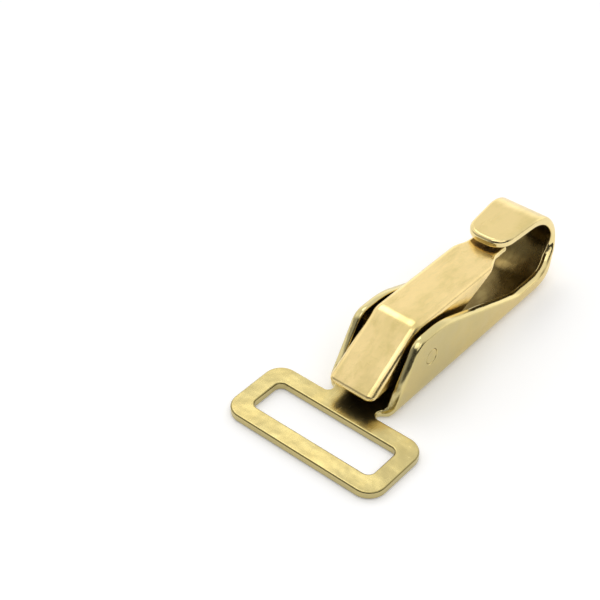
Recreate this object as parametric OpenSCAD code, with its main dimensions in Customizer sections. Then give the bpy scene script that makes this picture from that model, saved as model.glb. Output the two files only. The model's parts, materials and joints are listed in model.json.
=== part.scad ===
// Belt key clip: a pressed brass snap hook with a strap loop, a rocking lever and a hidden spring.
// X runs along the clip from the strap loop to the hook, Y across it, Z up from the back face.
// The origin is on the back face, half way along the clip and half way across it.

/* [Strap loop] */
// Width of the slot, for a 25 mm strap
slot_w = 25.2; // [18:0.2:40]
// Length of the slot along the clip
slot_l = 7.3; // [5.5:0.1:10]
// Width of the two rails that run along the slot
loop_rail = 3.6; // [2.6:0.1:5]
// Width of the loop's two short ends
loop_end = 3.4; // [2.6:0.1:5]
// Outer corner radius of the loop
loop_corner_r = 3.4; // [1.5:0.1:5]
// Corner radius of the slot
slot_corner_r = 1.3; // [0.6:0.1:2.5]

/* [Body] */
// Length of the whole clip, from the loop's edge to the hook's bend
overall_l = 68.1; // [62:0.1:80]
// Width of the channel, over both flanks
body_w = 14; // [13.4:0.1:16]
// Thickness of the body's sheet
sheet_t = 1.6; // [1.2:0.05:1.7]
// Inner radius of the folds between the back and the flanks
fold_r = 0.6; // [0.3:0.1:1.2]
// Width of the relief notch between the loop and each flank
relief_w = 2; // [1.2:0.1:3]
// Height of the flanks where they run into the hook's bend
hem_h = 3.8; // [3:0.1:4.2]

/* [Ears] */
// Height of the ears that hold the pin
ear_h = 12.5; // [11.5:0.1:13]
// Distance from the ear's back corner to the pin
ear_back = 3.7; // [3:0.1:4.5]
// Distance from the pin to the ear's front corner
ear_front = 3.4; // [2:0.1:5]
// Radius of the ear's back corner
ear_back_r = 3.6; // [2:0.1:4.5]
// Radius of the ear's front corner
ear_front_r = 16; // [6:0.5:20]
// Distance from the foot of the ears' front slope to the start of the hook's bend
ear_foot = 6; // [4:0.1:7]
// Radius of the flanks' edge at the foot of that slope
ear_foot_r = 8; // [3:0.5:10]

/* [Hook] */
// Outer radius of the hook's bend
hook_r = 7.85; // [7.4:0.05:8.4]
// Length of the straight arm that comes back over the lever
arm_l = 9; // [7:0.1:10]
// Angle at which the arm leans down towards the lever
arm_tilt = 2; // [0:0.5:4]
// Width of the sheet at the outermost point of the bend
nose_w = 11.2; // [10:0.1:13]
// Width of the arm where it leaves the bend
arm_root_w = 9.7; // [8:0.1:10.5]
// Width of the arm at its tip
arm_tip_w = 8.2; // [7:0.1:9.5]
// Corner radius of the arm's tip
arm_tip_r = 3.6; // [2:0.1:3.9]

/* [Pivot pin] */
// Diameter of the pin
pin_d = 2.9; // [2.2:0.05:3.2]
// Distance from the flanks' back end to the pin
pin_set = 10.8; // [10:0.1:12]
// Height of the pin's axis over the back face
pin_h = 7.4; // [7:0.05:7.8]
// Gap round the pin in the lever's holes
pin_gap = 0.05; // [0.02:0.01:0.09]

/* [Lever] */
// Gap between each side of the lever and the ear beside it
side_gap = 0.75; // [0.35:0.05:0.9]
// Thickness of the lever's sheet
lever_t = 1.1; // [0.8:0.05:1.3]
// Height of the lever's knee over the back face
knee_h = 13.4; // [13:0.05:14]
// Distance of the knee behind the pin
knee_back = 1.3; // [0.5:0.1:2.5]
// Outer radius of the knee
knee_r = 4; // [2.5:0.1:5]
// Slope of the thumb plate
thumb_rise = 32.6; // [28:0.2:34]
// Length of the thumb plate along the clip
thumb_l = 12.5; // [10:0.1:13]
// Length of the lever's tip that lies under the hook's arm
tip_lap = 3.7; // [2.5:0.1:4.5]
// Gap between the lever and the arm above it
gate_gap = 0.7; // [0.3:0.05:1]
// Metal left round the pin hole in the lever's flanges
boss_wall = 1.65; // [1:0.05:1.8]
// Depth of the flanges at their front corner, and the length in which they run out ahead of it
lip_depth = 2; // [1.5:0.1:2.6]
lip_run = 1.6; // [1:0.1:2.5]
// Inner radius of the lever's folds
lever_fold_r = 0.2; // [0.1:0.05:0.4]
// Widening of the thumb plate on each side, from the knee to its end
thumb_flare = 0.05; // [0:0.05:0.4]
// Width of the lever's tongue, which lies under the hook's arm
tongue_w = 6.6; // [5.6:0.1:7]
// Length over which the lever narrows to its tongue
tongue_run = 4.2; // [3:0.1:6]
// Corner radius of the lever's two ends
lever_end_r = 1.2; // [0.5:0.1:1.4]

/* [Spring] */
// Diameter of the spring's wire
wire_d = 0.8; // [0.6:0.05:0.9]
// Gap between the spring's turns
turn_gap = 0.45; // [0.42:0.01:0.55]
// Least gap between the coil and each side of the lever
coil_side_gap = 0.5; // [0.3:0.05:0.7]
// Gap between the spring's coil and the pin
coil_gap = 0.35; // [0.2:0.05:0.6]
// Distance from the pin to the ends of the spring's legs
leg_l = 11; // [8:0.5:13]
// Gap between each leg's end and the sheet that it presses on
leg_gap = 0.25; // [0.1:0.05:0.4]

/* [Hidden] */
brass = [0.86, 0.74, 0.46];
pin_brass = [0.78, 0.66, 0.38];
spring_steel = [0.66, 0.66, 0.64];
$fn = 96;
// Sides of the spring's wire, and rings in one of its turns
wire_sides = 8;
turn_rings = 16;
// Chords in each rounded corner of an outline
corner_chords = 8;
// A quarter turn, half a turn and a full turn
quarter_turn = 90;
half_turn = 180;
full_turn = 360;
// Sections of the body's loft where the ears rise and in each half of the bend, and chords in a fold
rise_steps = 6;
bend_steps = 10;
body_fold_chords = 6;
// Shares of the arm tip's radius at which its sections lie, and how far out a section's
// first point may lie as a share of its half width
tip_shares = [1, 0.6, 0.3, 0.1, 0];
first_share = 0.7;
// Largest share of the arm's width that the corner radius of its tip may take
tip_corner_share = 0.45;

loop_l = slot_l + 2 * loop_rail;
loop_w = slot_w + 2 * loop_end;
flank_x = loop_l + relief_w;
fold_out = fold_r + sheet_t;
back_w = body_w - 2 * fold_out;
bend_x = overall_l - hook_r;
ear_end = bend_x - ear_foot;
pin_x = flank_x + pin_set;
pin_r = pin_d / 2;
// Length of the sheet's middle in a right-angled fold and in one degree of the hook's bend
fold_l = (fold_out - sheet_t / 2) * PI * quarter_turn / half_turn;
degree_l = (hook_r - sheet_t / 2) * PI / half_turn;
nose_place = bend_x + degree_l * quarter_turn;
arm_start = bend_x + degree_l * (half_turn + arm_tilt);
arm_end = arm_start + arm_l;
tip_r = min(arm_tip_r, tip_corner_share * arm_tip_w);
// The flanks keep their height up to this share of the bend's first quarter
hem_share = 0.4;
hem_place = bend_x + hem_share * (nose_place - bend_x);
// Between these shares of it the back narrows to the nose, and the folds open out flat
draw_share = [0.25, 1.2];
fade_share = [0.65, 1.25];
least_fold = 1;

// The lever's channel fits between the ears
lever_w = body_w - 2 * (sheet_t + side_gap);

// The arm's tip and the lever's top line under it
tip_x = bend_x - arm_l * cos(arm_tilt);
arm_under = hook_r + (hook_r - sheet_t) * cos(arm_tilt) - arm_l * sin(arm_tilt);
knee = [pin_x - knee_back, knee_h];
lap_point = [tip_x, arm_under - gate_gap];
fall = lap_point - knee;
tip_dir = fall / norm(fall);
thumb_dir = [-cos(thumb_rise), -sin(thumb_rise)];
thumb_x = knee.x - thumb_l;
gate_x = tip_x + tip_lap;
tip_normal = [-tip_dir.y, tip_dir.x];
thumb_normal = [thumb_dir.y, -thumb_dir.x];
knee_half = acos(thumb_dir * tip_dir) / 2;
knee_in = (thumb_dir + tip_dir) / norm(thumb_dir + tip_dir);
knee_centre = knee + knee_in * knee_r / sin(knee_half);
knee_angles = [atan2(thumb_normal.y, thumb_normal.x), atan2(tip_normal.y, tip_normal.x)];
boss_r = pin_r + boss_wall;
skirt_floor = pin_h - boss_r;
// The flanges end in front at this share of the way from the pin to the tip
front_share = 0.72;
front_x = pin_x + front_share * (gate_x - pin_x);
front_r = 1.5;
// Place of the flanges' lower back corner, as a share of the thumb plate, and its radius
heel_share = 0.2;
least_skirt_share = 0.02;
least_skirt = least_skirt_share * lever_t;
heel_r = boss_wall;
// Sections of the lever's loft in its rounded ends, as shares of their radius
end_shares = [0, 0.08, 0.3, 0.6];
// Sections along the thumb plate, the knee and the top, and chords in a fold
thumb_steps = 14;
knee_steps = 6;
top_steps = 20;
fold_chords = 5;

// The spring has as many turns as fit inside the lever's channel
coil_r = pin_r + coil_gap + wire_d / 2;
turn_pitch = wire_d + turn_gap;
coil_space = lever_w - 2 * (lever_t + coil_side_gap) - wire_d;
coil_turns = floor(coil_space / turn_pitch + 1 / 2);
coil_w = (coil_turns - 1 / 2) * turn_pitch;

// Height of the lever's top line at a place ahead of the knee
function top_at(x) = knee.y + tip_dir.y * (x - knee.x) / tip_dir.x;
// Height of the thumb plate's top line at a place behind the knee
function thumb_at(x) = knee.y + tan(thumb_rise) * (x - knee.x);
function turned(v, a) = [v.x * cos(a) - v.y * sin(a), v.x * sin(a) + v.y * cos(a)];

// Points of an arc of radius r that rounds the corner b between a and c
function corner(a, b, c, r) =
    let (
        u = (a - b) / norm(a - b),
        v = (c - b) / norm(c - b),
        half = acos(u * v) / 2,
        centre = b + (u + v) / norm(u + v) * r / sin(half),
        from = b + u * r / tan(half) - centre,
        turn = (half_turn - 2 * half) * sign(cross(u, v)) * -1
    )
    [for (i = [0 : corner_chords]) centre + turned(from, turn * i / corner_chords)];

// A flat rounded rectangle from x = 0 forwards, centred across
module rounded_rect(l, w, r) {
    translate([r, -w / 2]) square([l - 2 * r, w]);
    translate([0, r - w / 2]) square([l, w - 2 * r]);
    for (x = [r, l - r], y = [r - w / 2, w / 2 - r])
        translate([x, y]) circle(r);
}

module strap_loop() {
    linear_extrude(sheet_t) difference() {
        rounded_rect(loop_l, loop_w, loop_corner_r);
        translate([loop_rail, 0]) rounded_rect(slot_l, slot_w, slot_corner_r);
    }
}

// Goes gently from 0 to 1 as t does
function eased(t) =
    let (s = min(1, max(0, t)))
    s * s * (3 - 2 * s);

// How far a place is through the part of the bend that lies between two shares of its first
// quarter, from 0 to 1
function through(place, span) =
    eased(((place - bend_x) / (nose_place - bend_x) - span[0]) / (span[1] - span[0]));

// Half the width of the back between the folds at a place: it narrows towards the nose
function back_half(place) =
    back_w / 2 - max(0, body_w - nose_w) / 2 * through(place, draw_share);
// Half width of the blank whose upright flank has a height over the back face
function upright(place, h) = back_half(place) + fold_l + h - fold_out;

// Outline of half the pressed blank, as its length along the clip and its half width there:
// the relief notch, the ear, the low flank that runs out round the bend, and the arm
function notch_line() =
    let (r = relief_w / 2)
    concat(
        [[loop_l - loop_rail / 2, back_w / 2 + r]],
        [for (i = [0 : corner_chords])
            let (a = half_turn * i / corner_chords)
            [loop_l + r - r * cos(a), back_w / 2 + r - r * sin(a)]]
    );
function ear_line() =
    let (
        foot = [flank_x, back_w / 2 + relief_w / 2],
        start = [pin_x - ear_back, upright(pin_x, ear_h)],
        stop = [pin_x + ear_front, upright(pin_x, ear_h)],
        end = [ear_end, upright(ear_end, hem_h)]
    )
    concat(
        corner(foot, start, stop, ear_back_r),
        corner(start, stop, end, ear_front_r),
        corner(stop, end, [bend_x, upright(bend_x, hem_h)], ear_foot_r)
    );
function hem_line() =
    let (
        start = [bend_x, upright(bend_x, hem_h)],
        stop = [hem_place, upright(hem_place, hem_h)],
        nose = [nose_place, nose_w / 2]
    )
    concat([start], corner(start, stop, nose, ear_foot_r), [nose]);
function arm_line() =
    concat(
        [[arm_start, arm_root_w / 2]],
        [for (s = tip_shares)
            let (d = tip_r * s)
            [arm_end - d, arm_tip_w / 2 - tip_r + sqrt(pow(tip_r, 2) - pow(tip_r - d, 2))]]
    );
blank = concat(notch_line(), ear_line(), hem_line(), arm_line());

// Places along the blank at which the body's sections lie
body_places = concat(
    [for (p = notch_line()) p.x],
    [for (i = [1 : rise_steps]) flank_x + (ear_line()[0].x - flank_x) * i / (rise_steps + 1)],
    [for (p = ear_line()) p.x],
    [for (i = [0 : bend_steps]) bend_x + (nose_place - bend_x) * i / bend_steps],
    [for (i = [1 : bend_steps])
        arm_start - degree_l * (quarter_turn + arm_tilt) * (1 - i / bend_steps)],
    [for (s = tip_shares) arm_end - tip_r * s]
);

// Angle of the folds at a place: flat at the neck, upright along the flanks, fading at the nose
function fold_angle(place) =
    place < loop_l + relief_w / 2 ? least_fold
    : max(least_fold, quarter_turn * (1 - through(place, fade_share)));

// Point of the sheet across the clip: v is the way out from the middle, w the depth from the back
function across_point(v, w, back, angle) =
    let (
        r = fold_l * half_turn / PI / angle,
        out = abs(v) - back,
        turned_by = min(angle, max(0, out / fold_l * angle)),
        straight = max(0, out - fold_l),
        flat = min(abs(v), back),
        y = flat + r * sin(turned_by) + straight * cos(angle) - (w - sheet_t / 2) * sin(turned_by),
        z = sheet_t / 2 + r * (1 - cos(turned_by)) + straight * sin(angle)
            + (w - sheet_t / 2) * cos(turned_by)
    )
    [sign(v) * y, z];

// Places a point that lies a height over the sheet's back face, along the strip, bend and arm
function along_point(place, y, h) =
    let (
        a = min(half_turn + arm_tilt, max(0, (place - bend_x) / degree_l)),
        straight = max(0, place - arm_start)
    )
    [
        min(place, bend_x) + (hook_r - h) * sin(a) + straight * cos(a),
        y,
        hook_r - (hook_r - h) * cos(a) + straight * sin(a)
    ];

// One section of the body's sheet, its back face across and its inner face back
function body_section(place) =
    let (
        reach = lookup(place, blank),
        back = back_half(place),
        n = body_fold_chords + 1,
        half = [for (k = [0 : n])
            min(
                k == n ? reach : back + fold_l * k / body_fold_chords,
                reach * (first_share + (1 - first_share) * k / n)
            )],
        ways = concat([for (k = [n : -1 : 0]) half[k]], -half),
        angle = fold_angle(place),
        face = function (w) [for (v = ways)
            let (p = across_point(v, w, back, angle))
            along_point(place, p[0], p[1])],
        inner = face(sheet_t)
    )
    concat(face(0), [for (i = [len(inner) - 1 : -1 : 0]) inner[i]]);

// A closed mesh through sections that each go out along one face of a sheet and back along the other
module sheet_loft(sections) {
    n = len(sections[0]);
    m = n / 2;
    last = (len(sections) - 1) * n;
    walls = [
        for (i = [0 : len(sections) - 2], k = [0 : n - 1])
            let (a = i * n + k, b = i * n + (k + 1) % n)
            each [[a, b, a + n], [b, b + n, a + n]]
    ];
    caps = [
        for (k = [0 : m - 2])
            each [
                [k, n - 1 - k, k + 1],
                [k + 1, n - 1 - k, n - 2 - k],
                [last + k, last + k + 1, last + n - 1 - k],
                [last + k + 1, last + n - 2 - k, last + n - 1 - k]
            ]
    ];
    polyhedron([for (s = sections) each s], concat(walls, caps));
}

module pin_rod(r, l) {
    translate([pin_x, 0, pin_h]) rotate([90, 0, 0]) cylinder(r = r, h = l, center = true);
}

module hook_body() {
    color(brass) translate([-overall_l / 2, 0, 0]) difference() {
        union() {
            strap_loop();
            sheet_loft([for (p = body_places) body_section(p)]);
        }
        pin_rod(pin_r, loop_w);
    }
}

module pivot_pin() {
    color(pin_brass) translate([-overall_l / 2, 0, 0]) pin_rod(pin_r, body_w);
}

// Stations along a straight of the lever's top line, each a point in side view with its outward
// normal. They close up towards the end of the lever, at the point that they start from.
function run_stations(from, to, normal, steps) =
    let (way = to - from, ease = lever_end_r / abs(way.x))
    concat(
        [for (s = end_shares) [from + way * ease * s, normal]],
        [for (i = [0 : steps]) [from + way * (ease + (1 - ease) * i / steps), normal]]
    );
function knee_stations(steps) =
    [for (i = [1 : steps - 1])
        let (a = knee_angles[0] + (knee_angles[1] - knee_angles[0]) * i / steps, n = [cos(a), sin(a)])
        [knee_centre + n * knee_r, n]];

// Lower edge of the flanges, from the thumb end to the tip
function skirt_line() =
    let (
        toe = [thumb_x, thumb_at(thumb_x) - lever_t],
        heel = [thumb_x + heel_share * thumb_l, skirt_floor],
        belly = [pin_x + boss_r, skirt_floor],
        front = [front_x, top_at(front_x) - lip_depth],
        lip_end = [front_x + lip_run, top_at(front_x + lip_run) - lever_t],
        end = [gate_x, top_at(gate_x) - lever_t]
    )
    concat(
        [toe],
        corner(toe, heel, belly, heel_r),
        corner(heel, belly, front, boss_r),
        corner(belly, front, lip_end, front_r),
        [lip_end, end]
    );

// How far a rounded end draws the sheet in, at a distance from that end
function drawn_in(d) =
    let (left = max(0, lever_end_r - d))
    lever_end_r - sqrt(pow(lever_end_r, 2) - pow(left, 2));

// Half of the lever's width at a place along it: the thumb plate widens towards its end, and the
// top narrows to the tongue
function lever_half(x) =
    lever_w / 2 + max(0, knee.x - x) / thumb_l * thumb_flare
    - (lever_w - tongue_w) / 2 * eased((x - tip_x) / tongue_run + 1)
    - drawn_in(x - thumb_x) - drawn_in(gate_x - x);

// One section of the lever's sheet, its outer face across and its inner face back
function lever_section(station, skirt) =
    let (
        r = lever_t + lever_fold_r,
        o = station[0] - station[1] * r,
        h = lever_half(station[0].x),
        foot = min(lookup(o.x, skirt), o.y - least_skirt),
        face = function (radius) concat(
            [[o.x, r - h - radius, foot]],
            [for (s = [-1, 1], i = [0 : fold_chords])
                let (
                    a = quarter_turn * (s < 0 ? i : fold_chords - i) / fold_chords,
                    up = o + station[1] * radius * sin(a)
                )
                [up.x, s * (h - r + radius * cos(a)), up.y]],
            [[o.x, h - r + radius, foot]]
        ),
        outer = face(r),
        inner = face(lever_fold_r)
    )
    concat(outer, [for (i = [len(inner) - 1 : -1 : 0]) inner[i]]);

module lever() {
    toe = [thumb_x, thumb_at(thumb_x)];
    end = [gate_x, top_at(gate_x)];
    top_run = run_stations(end, knee_centre + tip_normal * knee_r, tip_normal, top_steps);
    stations = concat(
        run_stations(toe, knee_centre + thumb_normal * knee_r, thumb_normal, thumb_steps),
        knee_stations(knee_steps),
        [for (i = [len(top_run) - 1 : -1 : 0]) top_run[i]]
    );
    skirt = skirt_line();
    color(brass) translate([-overall_l / 2, 0, 0]) difference() {
        sheet_loft([for (s = stations) lever_section(s, skirt)]);
        pin_rod(pin_r + pin_gap, loop_w);
    }
}

// Ends of the spring's legs, seen from the side, measured from the pin's axis
low_leg = [leg_l, sheet_t + leg_gap + wire_d / 2 - pin_h];
high_leg = [leg_l, top_at(pin_x + leg_l) - lever_t - leg_gap - wire_d / 2 - pin_h];
low_start = atan2(low_leg.y, low_leg.x) - acos(coil_r / norm(low_leg));
high_start = atan2(high_leg.y, high_leg.x) + acos(coil_r / norm(high_leg)) - coil_turns * full_turn;
coil_rings = round(turn_rings * (low_start - high_start) / full_turn);

// Middle line of the spring's wire, from the end of one leg to the end of the other
function coil_point(i) =
    let (s = i / coil_rings, a = low_start + (high_start - low_start) * s)
    [coil_r * cos(a), coil_w * (s - 1 / 2), coil_r * sin(a)];
wire_path = concat(
    [[low_leg.x, -coil_w / 2, low_leg.y]],
    [for (i = [0 : coil_rings]) coil_point(i)],
    [[high_leg.x, coil_w / 2, high_leg.y]]
);
least_turn_gap = min([
    for (i = [0 : len(wire_path) - 1], j = [i + turn_rings / 2 : len(wire_path) - 1])
        norm(wire_path[i] - wire_path[j])
]) - wire_d;
echo(least_gap_between_turns = least_turn_gap);

// A round tube along a path, as one closed mesh with flat ends
module tube(path, r, sides) {
    n = len(path);
    rings = [
        for (i = [0 : n - 1])
            let (
                way = path[min(i + 1, n - 1)] - path[max(i - 1, 0)],
                t = way / norm(way),
                lean = [0, 1, 0] - t * t.y,
                u = lean / norm(lean),
                v = cross(t, u)
            )
            for (k = [0 : sides - 1])
                let (a = full_turn * k / sides)
                path[i] + r * (u * cos(a) + v * sin(a))
    ];
    walls = [
        for (i = [0 : n - 2], k = [0 : sides - 1])
            let (
                a = i * sides + k,
                b = i * sides + (k + 1) % sides,
                c = a + sides,
                d = b + sides
            )
            each [[a, c, b], [b, c, d]]
    ];
    first = [for (k = [1 : sides - 2]) [0, k, k + 1]];
    last = (n - 1) * sides;
    final = [for (k = [1 : sides - 2]) [last, last + k + 1, last + k]];
    polyhedron(rings, concat(walls, first, final));
}

module return_spring() {
    color(spring_steel) translate([pin_x - overall_l / 2, 0, pin_h])
        tube(wire_path, wire_d / 2, wire_sides);
}

hook_body();
lever();
pivot_pin();
return_spring();
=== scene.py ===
"""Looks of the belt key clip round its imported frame: pressed brass body and lever, pin and spring."""

import json
import math

import bmesh
import bpy
import numpy as np
from mathutils import Matrix, Vector


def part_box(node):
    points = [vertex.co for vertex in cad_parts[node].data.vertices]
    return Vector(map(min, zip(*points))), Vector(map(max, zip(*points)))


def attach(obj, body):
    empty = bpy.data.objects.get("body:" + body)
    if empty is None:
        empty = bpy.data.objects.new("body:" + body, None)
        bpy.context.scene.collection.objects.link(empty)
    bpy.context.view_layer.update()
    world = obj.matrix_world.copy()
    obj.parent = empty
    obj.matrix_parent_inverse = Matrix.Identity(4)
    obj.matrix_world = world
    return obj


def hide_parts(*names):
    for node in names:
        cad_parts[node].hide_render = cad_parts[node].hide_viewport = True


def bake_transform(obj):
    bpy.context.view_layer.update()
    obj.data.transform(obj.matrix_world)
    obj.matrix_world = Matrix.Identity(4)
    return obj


bl_info = {
    "name": "Belt key clip",
    "version": (1, 0, 0),
    "blender": (4, 5, 0),
    "location": "View3D > Sidebar > Key clip",
    "description": "Builds the brass key clip's pieces round its fixed frame, with its studio",
    "category": "Object",
}

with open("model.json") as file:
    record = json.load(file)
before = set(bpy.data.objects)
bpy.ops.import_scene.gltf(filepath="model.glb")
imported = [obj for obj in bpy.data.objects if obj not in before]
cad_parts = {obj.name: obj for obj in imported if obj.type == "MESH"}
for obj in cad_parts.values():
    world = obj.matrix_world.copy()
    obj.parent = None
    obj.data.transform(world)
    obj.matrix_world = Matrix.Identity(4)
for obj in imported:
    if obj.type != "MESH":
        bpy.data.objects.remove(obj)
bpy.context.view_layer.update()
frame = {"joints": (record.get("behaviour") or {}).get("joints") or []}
BODY_LOW, BODY_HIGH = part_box("hook_body")
PIN_LOW, PIN_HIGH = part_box("pivot_pin")
PIVOT = Vector(frame["joints"][0]["pos_m"])

MM = 0.001

# How many chords or rings each round stretch of the meshes has
CORNER_CHORDS = 14
RIM_CHORDS = 5
FOLD_CHORDS = 12
BACK_CHORDS = 8
BEND_CHORDS = 56
ARM_CHORDS = 20
KNEE_CHORDS = 16
TONGUE_CHORDS = 8
HOLE_CHORDS = 48
PIN_SIDES = 64
DISH_RINGS = 6
WIRE_SIDES = 16
CAP_RINGS = 6
LEG_CHORDS = 13
COIL_STEP = math.radians(7.5)
FLOOR_SIDES = 96

# The arm's side starts this many chords past the nose, where the corner before it ends
NOSE_CHORDS = 3

# Radius of the innermost ring of the dish in the pin's ends, as a share of the dish
HUB_SHARE = 0.02

# How closely the lever's top line is measured, and how closely its flange follows the side view
RUN_STEPS = 4000
FLANGE_STEP = 0.4 * MM

# Points closer than this are one, on a cut or middle line and along an edge line
SAME_PLACE = 1e-8
SAME_POINT = 1e-6

# A fold that can't be seen, the step over which a slope is measured, and the least length that
# anything is divided by
TINY_ANGLE = 1e-5
NUDGE = 1e-7
LEAST = 1e-12


# Sizes and colours


def length(name, text, millimetres):
    """A length that a user may change, given in millimetres."""
    return bpy.props.FloatProperty(
        name=name, description=text, default=millimetres * MM, unit="LENGTH", precision=5
    )


def share(name, text, value):
    """A share from 0 to 1 that a user may change."""
    return bpy.props.FloatProperty(
        name=name, description=text, default=value, min=0, max=1, subtype="FACTOR"
    )


def span(name, text, first, last):
    """Two shares of the bend's first quarter, which may lie past its end."""
    return bpy.props.FloatVectorProperty(
        name=name, description=text, default=(first, last), size=2, min=0, max=2
    )


def colour(name, text, value):
    """A colour that a user may change, in linear light."""
    return bpy.props.FloatVectorProperty(
        name=name, description=text, default=value, size=3, min=0, max=1, subtype="COLOR"
    )


def angle(name, text, degrees):
    """An angle that a user may change, given in degrees."""
    return bpy.props.FloatProperty(
        name=name, description=text, default=math.radians(degrees), subtype="ANGLE"
    )


class ClipSizes(bpy.types.PropertyGroup):
    """Sizes of the pressed body and hook."""

    slot_w: length("Slot width", "Width of the slot for the strap", 25.2)
    slot_l: length("Slot length", "Length of the slot along the clip", 7.3)
    loop_rail: length("Rail", "Width of the rails along the slot", 3.6)
    loop_end: length("Loop end", "Width of the loop's short ends", 3.4)
    loop_corner_r: length("Loop corner", "Outer corner radius of the loop", 3.4)
    slot_corner_r: length("Slot corner", "Corner radius of the slot", 1.3)
    sheet_t: length("Body sheet", "Thickness of the body's sheet", 1.6)
    fold_r: length("Fold radius", "Inner radius of the body's folds", 0.6)
    relief_w: length("Relief notch", "Width of the notch behind each flank", 2)
    hem_h: length("Hem height", "Height of the flanks where they run into the hook", 3.8)
    ear_h: length("Ear height", "Height of the ears that hold the pin", 12.5)
    ear_back: length("Ear back", "From the ear's back corner to the pin", 3.7)
    ear_front: length("Ear front", "From the pin to the ear's front corner", 3.4)
    ear_back_r: length("Ear back corner", "Radius of the ear's back corner", 3.6)
    ear_front_r: length("Ear front corner", "Radius of the ear's front corner", 16)
    ear_foot: length("Ear foot", "From the foot of the ears' front slope to the bend", 6)
    ear_foot_r: length("Ear foot corner", "Radius of the flanks' edge at that foot", 8)
    hook_r: length("Hook radius", "Outer radius of the hook's bend", 7.845)
    arm_l: length("Arm length", "Straight arm that comes back over the lever", 9)
    arm_tilt: angle("Arm tilt", "Angle at which the arm leans to the lever", 2)
    nose_w: length("Nose width", "Width of the sheet half way round the bend", 11.2)
    arm_root_w: length("Arm root", "Width of the arm where it leaves the bend", 9.7)
    arm_tip_w: length("Arm tip", "Width of the arm at its tip", 8.2)
    arm_tip_r: length("Arm tip corner", "Corner radius of the arm's tip", 3.6)
    rim_r: length("Inner rim", "Rounding of the edges on the sheet's inner face", 0.34)
    loop_rim_r: length("Loop rim", "Rounding of the loop's edges underneath", 0.45)
    ear_rim_r: length("Ear rim", "Rounding of the flanks' and ears' outer edges", 1.25)
    ear_roll: share("Ear roll", "How far the ears' rounding reaches in against its depth", 0.6)
    arm_rim_r: length("Arm rim", "Rounding of the hook's outer edges", 0.75)
    hem_share: share("Hem", "Share of the bend's first quarter over which the hem stays high", 0.4)
    draw: span("Draw", "Shares of that quarter between which the back narrows", 0.25, 1.2)
    fade: span("Fade", "Shares of that quarter between which the folds open out", 0.65, 1.25)
    bore_gap: length("Bore gap", "Gap round the pin in the ears' bores", 0.01)


class LeverSizes(bpy.types.PropertyGroup):
    """Sizes of the lever, its pin and its spring."""

    lever_w: length("Width", "Width of the lever's channel", 9.3)
    lever_t: length("Sheet", "Thickness of the lever's sheet", 1.1)
    fold_r: length("Fold radius", "Inner radius of the lever's folds", 0.2)
    knee_h: length("Knee height", "Height of the knee over the back face", 13.4)
    knee_back: length("Knee back", "Distance of the knee behind the pin", 1.3)
    knee_r: length("Knee radius", "Outer radius of the knee", 4)
    thumb_rise: angle("Thumb slope", "Slope of the thumb plate", 32.6)
    thumb_l: length("Thumb length", "Length of the thumb plate along the clip", 12.5)
    thumb_flare: length("Thumb flare", "Widening of the thumb plate on each side", 0.05)
    thumb_corner_r: length("Thumb corner", "Radius of the blank's corner at the thumb end", 2.4)
    tip_lap: length("Tip lap", "Length of the tip under the hook's arm", 3.7)
    gate_gap: length("Gate gap", "Gap between the lever and the arm above it", 0.7)
    heel_l: length("Heel", "From the thumb end to the flanges' lower corner", 3.2)
    lip_depth: length("Lip", "Depth of the flanges at their front corner", 2)
    lip_l: length("Lip length", "From that corner to where the flanges end", 0.9)
    lip_r: length("Lip corner", "Radius of the flanges' front corner", 1.3)
    shoulder_l: length("Shoulder", "From that corner to the tongue's shoulder", 1.9)
    shoulder_w: length("Shoulder width", "How far the shoulder stands out past the top", 0.75)
    neck_l: length("Neck", "From that corner to the tongue's neck", 3.4)
    neck_w: length("Neck width", "How far the neck stands out past the tongue", 0.22)
    side_l: length("Tongue side", "From that corner to the tongue's straight side", 5.2)
    tongue_w: length("Tongue", "Width of the tongue under the arm", 6.6)
    tongue_corner_r: length("Tongue corner", "Corner radius of the tongue", 1.2)
    boss_wall: length("Boss", "Metal left round the pin hole", 1.65)
    front_share: share("Flange end", "Where the flanges end, from pin to tip", 0.72)
    rim_r: length("Inner rim", "Rounding of the edges on the sheet's inner face", 0.3)
    outer_rim_r: length("Outer rim", "Rounding of the edges on the sheet's outer face", 0.75)
    pin_gap: length("Pin gap", "Gap round the pin in the lever's holes", 0.05)
    pin_rim_r: length("Pin rim", "Rounding of the pin's ends and of its bore", 0.2)
    pin_sink: length("Pin sink", "How far the pin's ends lie under the ears' faces", 0.05)
    pin_dish: length("Pin dish", "Depth of the dish in the pin's ends", 0.06)
    pin_ease: length("Pin ease", "How much thinner the pin is than its place", 0.02)
    wire_d: length("Wire", "Diameter of the spring's wire", 0.8)
    turn_gap: length("Turn gap", "Gap between the spring's turns", 0.45)
    coil_gap: length("Coil gap", "Gap between the coil and the pin", 0.35)
    coil_side_gap: length("Coil side gap", "Least gap between coil and lever", 0.5)
    leg_l: length("Leg", "From the pin to the ends of the spring's legs", 11)
    leg_gap: length("Leg gap", "Gap between each leg's end and its sheet", 0.25)
    # Start of the lever's dull inner faces, which also carry a painted shade
    dull_shade_l: length("Dull start", "From the thumb end to where the inside goes dull", 8)


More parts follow.
